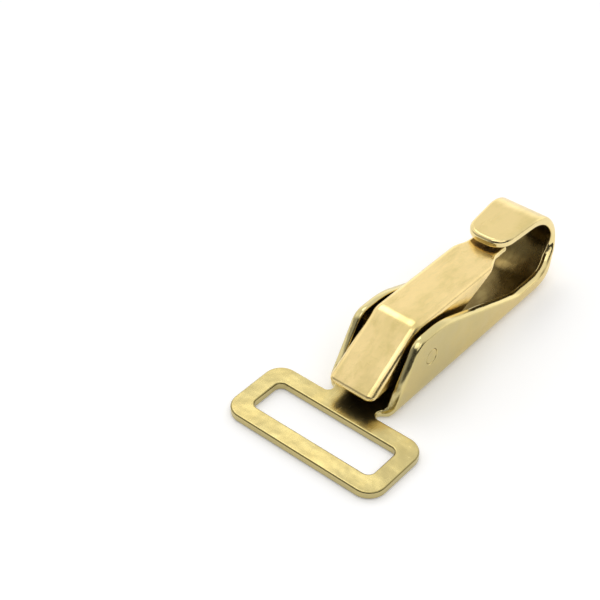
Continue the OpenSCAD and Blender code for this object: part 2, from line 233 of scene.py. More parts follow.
class ClipFinish(bpy.types.PropertyGroup):
    """Colours and finish of the metals."""

    brass: colour("Brass", "Polished faces of the brass", (0.93, 0.72, 0.335))
    warm_brass: colour("Warm brass", "Patches that have toned down", (0.68, 0.54, 0.21))
    # Pale brass on the rims is partly rubbed wear, partly a painted highlight
    rubbed_sheen_brass: colour("Pale brass", "Freshly rubbed edges", (0.96, 0.86, 0.50))
    # Hook and loop brass are darker copies of the brass, a painted shade for the dimmer light that the
    # hook and most of all the loop and flanks reflect
    shaded_hook_brass: colour("Hook brass", "Brass of the body from the bend to the arm", (0.84, 0.66, 0.30))
    shaded_loop_brass: colour("Loop brass", "Loop and flanks, a little toned", (0.585, 0.485, 0.21))
    # Painted shade: a dark olive brass that draws dark lines along the loop's rounded rims, where they
    # lie in shade and reflect dark surroundings
    rim_shade_brass: colour("Sheared brass", "Rims of the loop's sheared edges", (0.25, 0.205, 0.07))
    # Dull brass is dull untumbled metal and a painted shade: near black for the hook's inside, the neck
    # and the thumb's underside, which lie in shade
    dull_shade_brass: colour("Dull brass", "Inner faces that the barrel did not reach", (0.132, 0.084, 0.022))
    steel: colour("Steel", "Bright drawn spring wire", (0.62, 0.61, 0.58))
    oil_film: colour("Oil film", "Film of oil on the wire", (0.42, 0.37, 0.27))
    brass_roughness: share("Brass roughness", "Roughness of the tumbled brass", 0.23)
    steel_roughness: share("Steel roughness", "Least roughness of the wire", 0.2)
    wear: share("Wear", "Strength of scratches and toning", 0.8)


class StudioLook(bpy.types.PropertyGroup):
    """Floor, lights and camera."""

    floor_r: length("Floor radius", "Radius of the sheet of paper", 1600)
    floor_colour: colour("Floor", "Colour of the paper", (0.95, 0.945, 0.94))
    floor_roughness: share("Floor roughness", "Roughness of the paper", 0.9)
    floor_gloss: share("Floor gloss", "Strength of the paper's shine", 0.1)
    floor_glow: colour("Floor glow", "Light that lifts the paper to white", (0.16, 0.16, 0.16))
    camera_at: bpy.props.FloatVectorProperty(
        name="Camera place",
        description="Where the camera stands",
        default=(-149.31 * MM, -100.1 * MM, 161.61 * MM),
        size=3,
        subtype="TRANSLATION",
        unit="LENGTH",
    )
    camera_pan: angle("Camera pan", "Turn of the camera from the clip's length", 40.613)
    camera_tilt: angle("Camera tilt", "How far the camera looks down", 40.019)
    camera_roll: angle("Camera roll", "Roll of the camera", -0.1454)
    lens: bpy.props.FloatProperty(
        name="Lens", description="Focal length on a 36 mm sensor", default=81.8, unit="CAMERA"
    )


def sizes():
    """The body's sizes in this scene."""
    return bpy.context.scene.clip_sizes


def lever_sizes():
    """The sizes of the lever, the pin and the spring."""
    return bpy.context.scene.clip_lever


def finish():
    """The metals' colours and finish."""
    return bpy.context.scene.clip_finish


# Shader maths


class Value:
    """A number in a shader. Expressions on it add Math nodes."""

    def __init__(self, shader, socket):
        self.shader = shader
        self.socket = socket

    def math(self, operation, *others):
        """What a Math node makes of this value and the others."""
        node = self.shader.node("ShaderNodeMath", {"operation": operation}, self, *others)
        return Value(self.shader, node.outputs[0])

    def __add__(self, other):
        return self.math("ADD", other)

    __radd__ = __add__

    def __mul__(self, other):
        return self.math("MULTIPLY", other)

    __rmul__ = __mul__

    def __sub__(self, other):
        return self.math("SUBTRACT", other)

    def __rsub__(self, other):
        return (self * -1) + other

    def __pow__(self, other):
        return self.math("POWER", other)

    def at_most(self, other):
        """This value, or the other where that is less."""
        return self.math("MINIMUM", other)

    def between(self, low, high):
        """Goes gently from 0 at low to 1 at high."""
        gently = {"interpolation_type": "SMOOTHSTEP"}
        node = self.shader.node("ShaderNodeMapRange", gently, self, low, high)
        return Value(self.shader, node.outputs[0])


# Places of a Mix node's two colours among its inputs, and of its colour among its outputs
MIX_COLOURS = (6, 7)
MIX_RESULT = 2


class Shader:
    """A material's or the world's node tree."""

    def __init__(self, owner):
        owner.use_nodes = True
        self.tree = owner.node_tree
        self.tree.nodes.clear()

    def node(self, kind, settings=None, *values, **named):
        """Adds a node: its settings first, then the values or links of its sockets."""
        made = self.tree.nodes.new(kind)
        for key, setting in (settings or {}).items():
            setattr(made, key, setting)
        for place, value in enumerate(values):
            self.feed(made.inputs[place], value)
        for key, value in named.items():
            self.feed(made.inputs[key.replace("_", " ")], value)
        return made

    def feed(self, socket, value):
        """Links a value to a socket, or sets the socket to it. None leaves the socket alone."""
        if isinstance(value, Value):
            value = value.socket
        if isinstance(value, bpy.types.NodeSocket):
            self.tree.links.new(value, socket)
        elif socket.type == "RGBA":
            socket.default_value = (*value, 1)
        elif value is not None:
            socket.default_value = value

    def value(self, socket):
        """A node's output as a number for expressions."""
        return Value(self, socket)

    def mark(self, name):
        """A number that the piece's mesh holds at each point."""
        return self.value(self.node("ShaderNodeAttribute", {"attribute_name": name}).outputs["Fac"])

    def mix(self, factor, first, second):
        """A colour between two, which go into a Mix node's colour sockets."""
        made = self.node("ShaderNodeMix", {"data_type": "RGBA"}, factor)
        for place, colour_in in zip(MIX_COLOURS, (first, second)):
            self.feed(made.inputs[place], colour_in)
        return made.outputs[MIX_RESULT]

    def noise(self, place, pattern, patch_scale=1):
        """Smooth noise over the piece, in one of the patterns below."""
        scale, detail, roughness, stretch = pattern
        if stretch:
            times = {"operation": "MULTIPLY"}
            place = self.node("ShaderNodeVectorMath", times, place, stretch).outputs[0]
        sockets = {"Scale": scale * patch_scale, "Detail": detail, "Roughness": roughness}
        return Value(self, self.node("ShaderNodeTexNoise", Vector=place, **sockets).outputs[0])

    def bump(self, height, strength, distance, normal=None):
        """A normal that follows the height, on top of another normal if one is given."""
        sockets = {"Strength": strength, "Distance": distance, "Height": height, "Normal": normal}
        return self.node("ShaderNodeBump", **sockets).outputs[0]

    def surface(self, **sockets):
        """Ends a material's tree in a surface with these sockets."""
        made = self.node("ShaderNodeBsdfPrincipled", **sockets)
        self.node("ShaderNodeOutputMaterial", None, made.outputs[0])


# Patterns in the metals: waves per metre, detail, roughness, and stretch along X, Y and Z.
# Clouds and blotches are scaled by the piece's own patch scale as well.
CLOUDS = (1, 3, 0.5, (0.7, 1.5, 1.2))
BLOTCHES = (3.1, 4, 0.6, (0.6, 1.4, 1.1))
LONG_SCRATCHES = (1, 3, 0.6, (260, 3800, 2600))
CROSS_SCRATCHES = (1, 2, 0.5, (4200, 420, 1500))
PITS = (2600, 2, 0.5, None)
SWELL = (210, 2, 0.45, None)
DENTS = (620, 2, 0.5, None)
STREAKS = (1, 3, 0.5, (900, 2400, 900))
FILM = (420, 3, 0.5, None)

# The middle level of a pattern, and levels between which a change in the brass comes up
MIDDLE_LEVEL = 0.5
CLOUD_LEVELS, BLOTCH_LEVELS = (0.42, 0.64), (0.46, 0.7)
LONG_LEVELS, CROSS_LEVELS, PIT_LEVELS = (0.6, 0.74), (0.63, 0.76), (0.6, 0.8)
RIM_LEVELS, EDGE_LEVELS, INNER_LEVELS = (0.2, 0.6), (0.8, 0.98), (0.965, 1)
RUB_CLOUD_LEVELS, RUB_BLOTCH_LEVELS = (0.3, 0.75), (0.5, 0.72)
FILM_LEVELS = (0.45, 0.75)

# Shares of the toned colour that clouds, blotches and scratches bring, of the rubbed colour with
# its painted highlight and of the painted dark shade on a rim, of the latter that the middle of
# an edge lacks, of the dull colour with its painted shade that rubbing takes away, and of the oil
# film's colour on the wire
CLOUD_SHARE, BLOTCH_SHARE, SCRATCH_SHARE = 0.6, 0.45, 0.3
RUBBED_SHEEN_SHARE, RIM_SHADE_SHARE, MIDDLE_SHARE, RUB_SHARE = 0.25, 0.9, 0.55, 0.22
FILM_SHARE = 0.5

# What blotches, scratches, rims, dull faces and the wire's streaks add to the roughness
BLOTCH_ROUGH, SCRATCH_ROUGH, RIM_ROUGH, DULL_ROUGH = 0.2, 0.05, -0.06, 0.06
STREAK_ROUGH = 0.2

# Depth of the scratches against the pits, and strength and depth of the bumps in the metals
SCRATCH_DEPTH = 0.5
SWELL_BUMP, DENT_BUMP = (0.9, 0.2 * MM), (0.3, 0.03 * MM)
SCRATCH_BUMP, STREAK_BUMP = (0.16, 0.008 * MM), (0.2, 0.006 * MM)

# From the neck, where the strap end's darker brass, a painted shade, turns into the hook's; how
# far to each side of the neck the painted dark rims end; over which length the inner faces go dull
# and take their painted shade, and along which power
END_SHADE_FADE = (24 * MM, 40 * MM)
NECK_FADE = 2 * MM
DULL_SHADE_FADE = 9 * MM
DULL_SHADE_CURVE = 0.4

# Waves per metre of the patches on each piece
BODY_PATCHES, LEVER_PATCHES, PIN_PATCHES = 95, 120, 300


def tumbled_brass(name, base, patch_scale, dull_shade_from, shaded_end_brass=None):
    """Satin brass from a tumbling barrel: toned patches, rubbed rims with a painted highlight,
    scratches, and dull inner faces darkened with painted shade.

    dull_shade_from is the place along the clip where the inner faces start to go dull and take
    their painted shade. A piece with a shaded_end_brass has that darker brass, a painted shade, at
    the strap end, with painted dark lines along its rims there, and the base brass at the hook.
    """
    look = finish()
    material = bpy.data.materials.new(name)
    shader = Shader(material)
    place = shader.node("ShaderNodeTexCoord").outputs["Object"]
    along = shader.value(shader.node("ShaderNodeSeparateXYZ", None, place).outputs["X"])
    rim, inner = shader.mark("rim"), shader.mark("inner")
    clouds = shader.noise(place, CLOUDS, patch_scale)
    blotches = shader.noise(place, BLOTCHES, patch_scale)
    lines = shader.noise(place, LONG_SCRATCHES).between(*LONG_LEVELS)
    lines = lines + shader.noise(place, CROSS_SCRATCHES).between(*CROSS_LEVELS)
    toned = clouds.between(*CLOUD_LEVELS) * CLOUD_SHARE + lines * SCRATCH_SHARE
    toned = (toned + blotches.between(*BLOTCH_LEVELS) * BLOTCH_SHARE) * look.wear
    # Painted shade: the strap end takes the darker loop brass, which fades into the hook's brass
    if shaded_end_brass:
        hookwards = along.between(*(dull_shade_from + fade for fade in END_SHADE_FADE))
        base = shader.mix(hookwards, shaded_end_brass, base)
    brass = shader.mix(toned, base, look.warm_brass)
    # Rims lightened towards pale brass: partly rubbed wear, partly a painted highlight
    brass = shader.mix(rim * RUBBED_SHEEN_SHARE, brass, look.rubbed_sheen_brass)
    if shaded_end_brass:
        # Painted shade along the loop's rims: the roundings are darkened into dark lines, less in the
        # middle of each edge, ending at the neck
        shaded_sheared = rim.between(*RIM_LEVELS) * RIM_SHADE_SHARE - rim.between(*EDGE_LEVELS) * MIDDLE_SHARE
        past_neck = along.between(dull_shade_from - NECK_FADE, dull_shade_from + NECK_FADE)
        brass = shader.mix(shaded_sheared * (1 - past_neck), brass, look.rim_shade_brass)
    rubbed = clouds.between(*RUB_CLOUD_LEVELS) + blotches.between(*RUB_BLOTCH_LEVELS)
    # Painted shade: past the start the inner faces are darkened towards the dull brass, lighter in
    # rubbed patches
    dull_shaded = inner.between(*INNER_LEVELS) * along.between(dull_shade_from, dull_shade_from + DULL_SHADE_FADE) ** DULL_SHADE_CURVE
    dull_shaded = dull_shaded * (rubbed * -RUB_SHARE + 1)
    brass = shader.mix(dull_shaded, brass, look.dull_shade_brass)
    roughness = (blotches - MIDDLE_LEVEL) * BLOTCH_ROUGH + look.brass_roughness
    roughness = roughness + lines * (SCRATCH_ROUGH * look.wear) + rim * RIM_ROUGH + dull_shaded * DULL_ROUGH
    normal = shader.bump(shader.noise(place, SWELL), *SWELL_BUMP)
    normal = shader.bump(shader.noise(place, DENTS), *DENT_BUMP, normal)
    marks = lines * SCRATCH_DEPTH + shader.noise(place, PITS).between(*PIT_LEVELS)
    normal = shader.bump(marks, *SCRATCH_BUMP, normal)
    shader.surface(Base_Color=brass, Metallic=1.0, Roughness=roughness, Normal=normal)
    return material


def drawn_wire(name):
    """Bright steel wire with the faint lines of its drawing die."""
    look = finish()
    material = bpy.data.materials.new(name)
    shader = Shader(material)
    place = shader.node("ShaderNodeTexCoord").outputs["Object"]
    streaks = shader.noise(place, STREAKS)
    film = shader.noise(place, FILM).between(*FILM_LEVELS) * FILM_SHARE
    shader.surface(
        Base_Color=shader.mix(film, look.steel, look.oil_film),
        Metallic=1.0,
        Roughness=streaks * STREAK_ROUGH + look.steel_roughness,
        Normal=shader.bump(streaks, *STREAK_BUMP),
    )
    return material


# Outlines of the flat blanks


def turned(vector, by):
    """A flat vector, turned left by an angle."""
    c, s = math.cos(by), math.sin(by)
    return np.array([vector[0] * c - vector[1] * s, vector[0] * s + vector[1] * c])


def circle(x, y, radius, chords):
    """Points of a circle, turning left."""
    turns = np.linspace(0, 2 * math.pi, chords, endpoint=False)
    return [(x + radius * math.cos(a), y + radius * math.sin(a)) for a in turns]


def corner(a, b, c, radius):
    """Points of an arc that rounds the corner b between a and c."""
    a, b, c = (np.array(p, float) for p in (a, b, c))
    u = (a - b) / np.linalg.norm(a - b)
    v = (c - b) / np.linalg.norm(c - b)
    half = math.acos(max(-1, min(1, float(u @ v)))) / 2
    centre = b + (u + v) / np.linalg.norm(u + v) * radius / math.sin(half)
    start = b + u * radius / math.tan(half) - centre
    turn = (math.pi - 2 * half) * -math.copysign(1, u[0] * v[1] - u[1] * v[0])
    return [centre + turned(start, turn * i / CORNER_CHORDS) for i in range(CORNER_CHORDS + 1)]


# A smooth line is blended in three rounds, each between these two of the four places round it
BLENDS = (((0, 1), (1, 2), (2, 3)), ((0, 2), (1, 3)), ((1, 2),))


def flowing(points, chords):
    """A smooth line that passes through the points, paced by the distances between them."""
    points = [np.array(p, float) for p in points]
    padded = [2 * points[0] - points[1], *points, 2 * points[-1] - points[-2]]
    line = []
    for four in zip(padded, padded[1:], padded[2:], padded[3:]):
        at = np.cumsum([0, *(np.linalg.norm(b - a) for a, b in zip(four, four[1:]))])
        for t in at[1] + (at[2] - at[1]) * np.arange(chords) / chords:
            row = four
            for pairs in BLENDS:
                row = [
                    ((at[j] - t) * a + (t - at[i]) * b) / (at[j] - at[i])
                    for (i, j), a, b in zip(pairs, row, row[1:])
                ]
            line.append(row[0])
    return [*line, points[-1]]


def dense(points, step):
    """The points with more of them between, at most a step apart."""
    line = []
    for a, b in zip(points, points[1:]):
        a, b = np.array(a, float), np.array(b, float)
        count = max(1, math.ceil(np.linalg.norm(b - a) / step))
        line += [a + (b - a) * i / count for i in range(count)]
    return [*line, np.array(points[-1], float)]


def thinned(points):
    """The points without those that lie on their neighbours."""
    kept = [points[0]]
    for p in points[1:]:
        if np.linalg.norm(np.array(p) - kept[-1]) > SAME_POINT:
            kept.append(np.array(p, float))
    return [np.array(p, float) for p in kept]


def outward(points, closed):
    """For each point of an edge line, the outward way and how far to go to shift it by one."""
    n = len(points)
    ways = []
    for i in range(n):
        before = points[i] - points[i - 1] if closed or i > 0 else None
        after = points[(i + 1) % n] - points[i] if closed or i < n - 1 else None
        sides = []
        for step in (before, after):
            if step is not None:
                step = step / np.linalg.norm(step)
                sides.append(np.array([-step[1], step[0]]))
        middle = sum(sides)
        if len(sides) == 2:
            middle = middle / (1 + float(sides[0] @ sides[1]))
        ways.append(middle)
    return ways


def even_rim(radius):
    """A round rim of one size all along an edge."""
    return lambda u: (radius, radius)


class Blank:
    """Half of a flat sheet with rounded rims, from its middle line outwards, before it is folded.

    Depth counts from one face to the other; inner_depth is that of the face that ends up inside.
    """

    def __init__(self, thickness, inner_depth):
        """An empty sheet, to which edges are added before it is filled, cut and folded."""
        self.thickness = thickness
        self.inner_depth = inner_depth
        self.mesh = bmesh.new()
        self.normal = self.mesh.verts.layers.float_vector.new("normal")
        self.rim = self.mesh.verts.layers.float.new("rim")
        self.under = []
        self.over = []
        self.ends = []

    def vertex(self, u, v, w, normal, rim):
        """A point of the sheet with its normal and how far it is on the rim."""
        made = self.mesh.verts.new((u, v, w))
        made[self.normal] = normal
        made[self.rim] = rim
        return made

    def edge(self, points, outer_rim, inner_r, closed=False):
        """Adds the rounded rim along an edge line that has the metal on its right.

        outer_rim(u) gives how deep the outer face's rounding is and how far it reaches in at a
        place along the blank; the inner face's is round, with the radius inner_r.
        """
        points = thinned(points)
        ways = outward(points, closed)
        steps = [math.pi / 2 * (i / RIM_CHORDS - 1) for i in range(RIM_CHORDS + 1)]
        both = [(outer_rim(point[0]), (inner_r, inner_r)) for point in points]
        if self.inner_depth == 0:
            both = [rims[::-1] for rims in both]
        levels = [(0, a) for a in steps] + [(1, a + math.pi / 2) for a in steps]
        rings = []
        for face, a in levels:
            ring = []
            for point, way, rims in zip(points, ways, both):
                deep, reach = rims[face]
                height = self.thickness - deep if face else deep
                at = point - way * reach * (1 - math.cos(a))
                lean = np.array((deep * math.cos(a), reach * math.sin(a)))
                lean /= np.linalg.norm(lean)
                side = way / np.linalg.norm(way) * lean[0]
                v = at[1] if closed or abs(point[1]) > SAME_PLACE else 0
                normal = (*side, lean[1])
                ring.append(self.vertex(at[0], v, height + deep * math.sin(a), normal, math.cos(a)))
            rings.append(ring)
        n = len(points)
        for low, high in zip(rings, rings[1:]):
            for i in range(n if closed else n - 1):
                j = (i + 1) % n
                self.mesh.faces.new((low[i], high[i], high[j], low[j]))
        for ring, side in ((rings[0], self.under), (rings[-1], self.over)):
            for i in range(n if closed else n - 1):
                side.append(self.mesh.edges.get((ring[i], ring[(i + 1) % n])))
        if not closed:
            self.ends.append((rings[0][0], rings[0][-1], rings[-1][0], rings[-1][-1]))

    def fill(self):
        """Closes the two faces of the sheet between the edge lines and the middle line."""
        for ends, after in zip(self.ends, [*self.ends[1:], self.ends[0]]):
            self.under.append(self.mesh.edges.new((ends[1], after[0])))
            self.over.append(self.mesh.edges.new((ends[3], after[2])))
        for side, up in ((self.under, -1), (self.over, 1)):
            facing = (0, 0, up)
            made = bmesh.ops.triangle_fill(self.mesh, use_beauty=True, edges=side, normal=facing)
            for face in (g for g in made["geom"] if isinstance(g, bmesh.types.BMFace)):
                face.normal_update()
                if face.normal.z * up < 0:
                    face.normal_flip()

    def cut(self, places, axis):
        """Cuts the sheet across at each place, so that it can bend there."""
        way = Vector((1, 0, 0)) if axis == "u" else Vector((0, 1, 0))
        for place in places:
            bmesh.ops.bisect_plane(
                self.mesh,
                geom=[*self.mesh.verts, *self.mesh.edges, *self.mesh.faces],
                dist=SAME_PLACE,
                plane_co=way * place,
                plane_no=way,
            )

    def folded(self, name, form):
        """The whole piece: the half and its mirror image, each point placed by form(u, v, w)."""
        bmesh.ops.triangulate(self.mesh, faces=[f for f in self.mesh.faces if len(f.verts) > 4])
        self.mesh.verts.index_update()
        verts = list(self.mesh.verts)
        flat = np.array([v.co for v in verts])
        normals = np.array([v[self.normal] for v in verts])
        rims = np.array([v[self.rim] for v in verts])
        faces = [[v.index for v in f.verts] for f in self.mesh.faces]
        self.mesh.free()
        middle = np.abs(flat[:, 1]) < SAME_PLACE
        flat[middle, 1] = 0
        placed = form(*flat.T)
        leaning = carried_normals(form, flat, normals)
        twin = np.arange(len(flat))
        twin[~middle] = len(flat) + np.arange(int((~middle).sum()))
        flip = np.array([1, -1, 1])
        points = np.vstack([placed, (placed * flip)[~middle]])
        shading = np.vstack([leaning, (leaning * flip)[~middle]])
        shading[: len(flat)][middle] *= np.array([1, 0, 1])
        rims = np.concatenate([rims, rims[~middle]])
        faces += [[int(twin[i]) for i in reversed(f)] for f in faces]
        inner = 1 - np.abs(flat[:, 2] - self.inner_depth) / self.thickness
        inner = np.concatenate([inner, inner[~middle]])
        return made_piece(name, points, faces, shading, {"rim": rims, "inner": inner})


def carried_normals(form, flat, normals):
    """The normals of the flat sheet, carried over to the folded one."""
    columns = []
    for axis in range(3):
        step = np.zeros(3)
        step[axis] = NUDGE
        columns.append((form(*(flat + step).T) - form(*(flat - step).T)) / (2 * NUDGE))
    du, dv, dw = columns
    carried = (
        normals[:, :1] * np.cross(dv, dw)
        + normals[:, 1:2] * np.cross(dw, du)
        + normals[:, 2:] * np.cross(du, dv)
    )
    return carried / np.maximum(np.linalg.norm(carried, axis=1, keepdims=True), LEAST)


def made_piece(name, points, faces, normals=None, marks=None):
    """A smooth mesh object from its points, faces and normals."""
    mesh = bpy.data.meshes.new(name)
    mesh.from_pydata([tuple(p) for p in points], [], faces)
    mesh.validate(verbose=False)
    mesh.update()
    mesh.shade_smooth()
    for mark, values in (marks or {}).items():
        attribute = mesh.attributes.new(mark, "FLOAT", "POINT")
        attribute.data.foreach_set("value", values.astype(np.float32))
    if normals is not None:
        normals = normals / np.maximum(np.linalg.norm(normals, axis=1, keepdims=True), LEAST)
        mesh.normals_split_custom_set_from_vertices([tuple(n) for n in normals])
    made = bpy.data.objects.new(name, mesh)
    bpy.context.scene.collection.objects.link(made)
    return made


# The body's form


class BodyPlan:
    """Places that follow from the body's sizes. Along the clip they count from the strap end."""

    def __init__(self, s):
        """Works the places out from the sizes s and from the frame."""
        self.s = s
        self.t = s.sheet_t
        self.inner_depth = s.sheet_t
        self.start = BODY_LOW.x
        self.overall_l = BODY_HIGH.x - BODY_LOW.x
        self.body_w = PIN_HIGH.y - PIN_LOW.y
        self.loop_l = s.slot_l + 2 * s.loop_rail
        self.loop_w = s.slot_w + 2 * s.loop_end
        self.flank_x = self.loop_l + s.relief_w
        self.notch_x = self.loop_l + s.relief_w / 2
        self.fold_out = s.fold_r + s.sheet_t
        self.back_half = self.body_w / 2 - self.fold_out
        self.fold_l = (self.fold_out - s.sheet_t / 2) * math.pi / 2
        self.bend_x = self.overall_l - s.hook_r
        self.bend_r = s.hook_r - s.sheet_t / 2
        self.bend_angle = math.pi + s.arm_tilt
        self.arm_start = self.bend_x + self.bend_r * self.bend_angle
        self.arm_end = self.arm_start + s.arm_l
        self.nose_u = self.bend_x + self.bend_r * math.pi / 2
        self.hem_u = self.bend_x + s.hem_share * (self.nose_u - self.bend_x)
        self.ear_end = self.bend_x - s.ear_foot
        self.pin_x = PIVOT.x - self.start
        self.pin_v = self.back_half + self.fold_l + PIVOT.z - self.fold_out
        self.pin_r = (PIN_HIGH.x - PIN_LOW.x) / 2
        self.arm_under = (
            s.hook_r
            + (s.hook_r - s.sheet_t) * math.cos(s.arm_tilt)
            - s.arm_l * math.sin(s.arm_tilt)
        )
        self.tip_x = self.bend_x - s.arm_l * math.cos(s.arm_tilt)

    def through(self, u, part):
        """How far a place is between two shares of the bend's first quarter, eased."""
        t = ((u - self.bend_x) / (self.nose_u - self.bend_x) - part[0]) / (part[1] - part[0])
        t = np.clip(t, 0, 1)
        return t * t * (3 - 2 * t)

    def outer_rim(self, u):
        """Depth and reach of the outer face's rounding at a place along the clip."""
        s = self.s
        places = [self.loop_l, self.notch_x + s.relief_w, self.bend_x, self.nose_u]
        deep = float(np.interp(u, places, [s.loop_rim_r, s.ear_rim_r, s.ear_rim_r, s.arm_rim_r]))
        return deep, deep * float(np.interp(u, places, [1, s.ear_roll, s.ear_roll, 1]))

    def fold_angle(self, u):
        """How far the flanks are folded up at a place: not at the loop, and fading at the hook."""
        upright = math.pi / 2 * (1 - self.through(u, self.s.fade))
        return np.where(u < self.notch_x, TINY_ANGLE, np.maximum(upright, TINY_ANGLE))

    def fold_line(self, u):
        """Half the width of the back between the folds."""
        narrowing = max(0, self.body_w - self.s.nose_w) / 2
        return self.back_half - narrowing * self.through(u, self.s.draw)

    def upright(self, u, height):
        """Half width of the blank whose upright flank has a height over the back face."""
        return float(self.fold_line(u)) + self.fold_l + height - self.fold_out

    def form(self, u, v, w):
        """Folds the flanks up, then bends the strip round into the hook."""
        s = self.s
        lean = self.fold_angle(u)
        radius = self.fold_l / lean
        back = self.fold_line(u)
        out = np.abs(v) - back
        by = np.minimum(lean, np.maximum(0, out / self.fold_l * lean))
        straight = np.maximum(0, out - self.fold_l)
        depth = w - self.t / 2
        y = np.minimum(np.abs(v), back) + (radius - depth) * np.sin(by) + straight * np.cos(lean)
        h = self.t / 2 + radius * 2 * np.sin(by / 2) ** 2 + straight * np.sin(lean)
        h = h + depth * np.cos(by)
        a = np.clip((u - self.bend_x) / self.bend_r, 0, self.bend_angle)
        arm = np.maximum(0, u - self.arm_start)
        x = np.minimum(u, self.bend_x) + (s.hook_r - h) * np.sin(a) + arm * np.cos(a)
        z = s.hook_r - (s.hook_r - h) * np.cos(a) + arm * np.sin(a)
        return np.stack([x + self.start, np.copysign(1, v) * y, z], axis=1)

    def outline(self):
        """Edge line of half the blank, from the strap end round to the tip of the arm."""
        s = self.s
        side = self.loop_w / 2
        notch_r = s.relief_w / 2
        neck = self.back_half + notch_r
        ear_v = self.upright(self.pin_x, s.ear_h)
        foot = (self.flank_x, neck)
        back = (self.pin_x - s.ear_back, ear_v)
        front = (self.pin_x + s.ear_front, ear_v)
        end = (self.ear_end, self.upright(self.ear_end, s.hem_h))
        bend = (self.bend_x, self.upright(self.bend_x, s.hem_h))
        hem = (self.hem_u, self.upright(self.hem_u, s.hem_h))
        nose = (self.nose_u, s.nose_w / 2)
        root = (self.arm_start, s.arm_root_w / 2)
        tip = corner(root, (self.arm_end, s.arm_tip_w / 2), (self.arm_end, 0), s.arm_tip_r)
        notch = [
            (self.loop_l + notch_r * (1 - math.cos(a)), neck - notch_r * math.sin(a))
            for a in np.linspace(0, math.pi, 2 * CORNER_CHORDS)[:-1]
        ]
        return [
            (0, 0),
            *corner((0, 0), (0, side), (self.loop_l, side), s.loop_corner_r),
            *corner((0, side), (self.loop_l, side), (self.loop_l, neck), s.loop_corner_r),
            *notch,
            foot,
            *corner(foot, back, front, s.ear_back_r),
            *corner(back, front, end, s.ear_front_r),
            *corner(front, end, bend, s.ear_foot_r),
            *corner(bend, hem, nose, s.ear_foot_r),
            *corner(hem, nose, root, s.ear_foot_r),
            *flowing([nose, root, tip[0]], ARM_CHORDS)[NOSE_CHORDS:-1],
            *tip,
            (self.arm_end, 0),
        ]

    def slot(self):
        """Edge line of half the strap's slot."""
        s = self.s
        near, far, side = s.loop_rail + s.slot_l, s.loop_rail, s.slot_w / 2
        return [
            (near, 0),
            *corner((near, 0), (near, side), (far, side), s.slot_corner_r),
            *corner((near, side), (far, side), (far, 0), s.slot_corner_r),
            (far, 0),
        ]

    def pin_hole(self):
        """Edge line of the pin's bore in the ear."""
        return circle(self.pin_x, self.pin_v, self.pin_r + self.s.bore_gap, HOLE_CHORDS)

    def cuts(self):
        """Places along the blank and across it at which it has to be able to bend."""
        bend = self.bend_x + self.bend_r * np.linspace(0, self.bend_angle, BEND_CHORDS + 1)
        narrow = float(self.fold_line(self.arm_end))
        back = np.linspace(narrow, self.back_half, BACK_CHORDS, endpoint=False)
        folds = self.back_half + self.fold_l * np.linspace(0, 1, FOLD_CHORDS + 1)
        return [*bend, self.notch_x], [*back, *folds]


# The lever's form


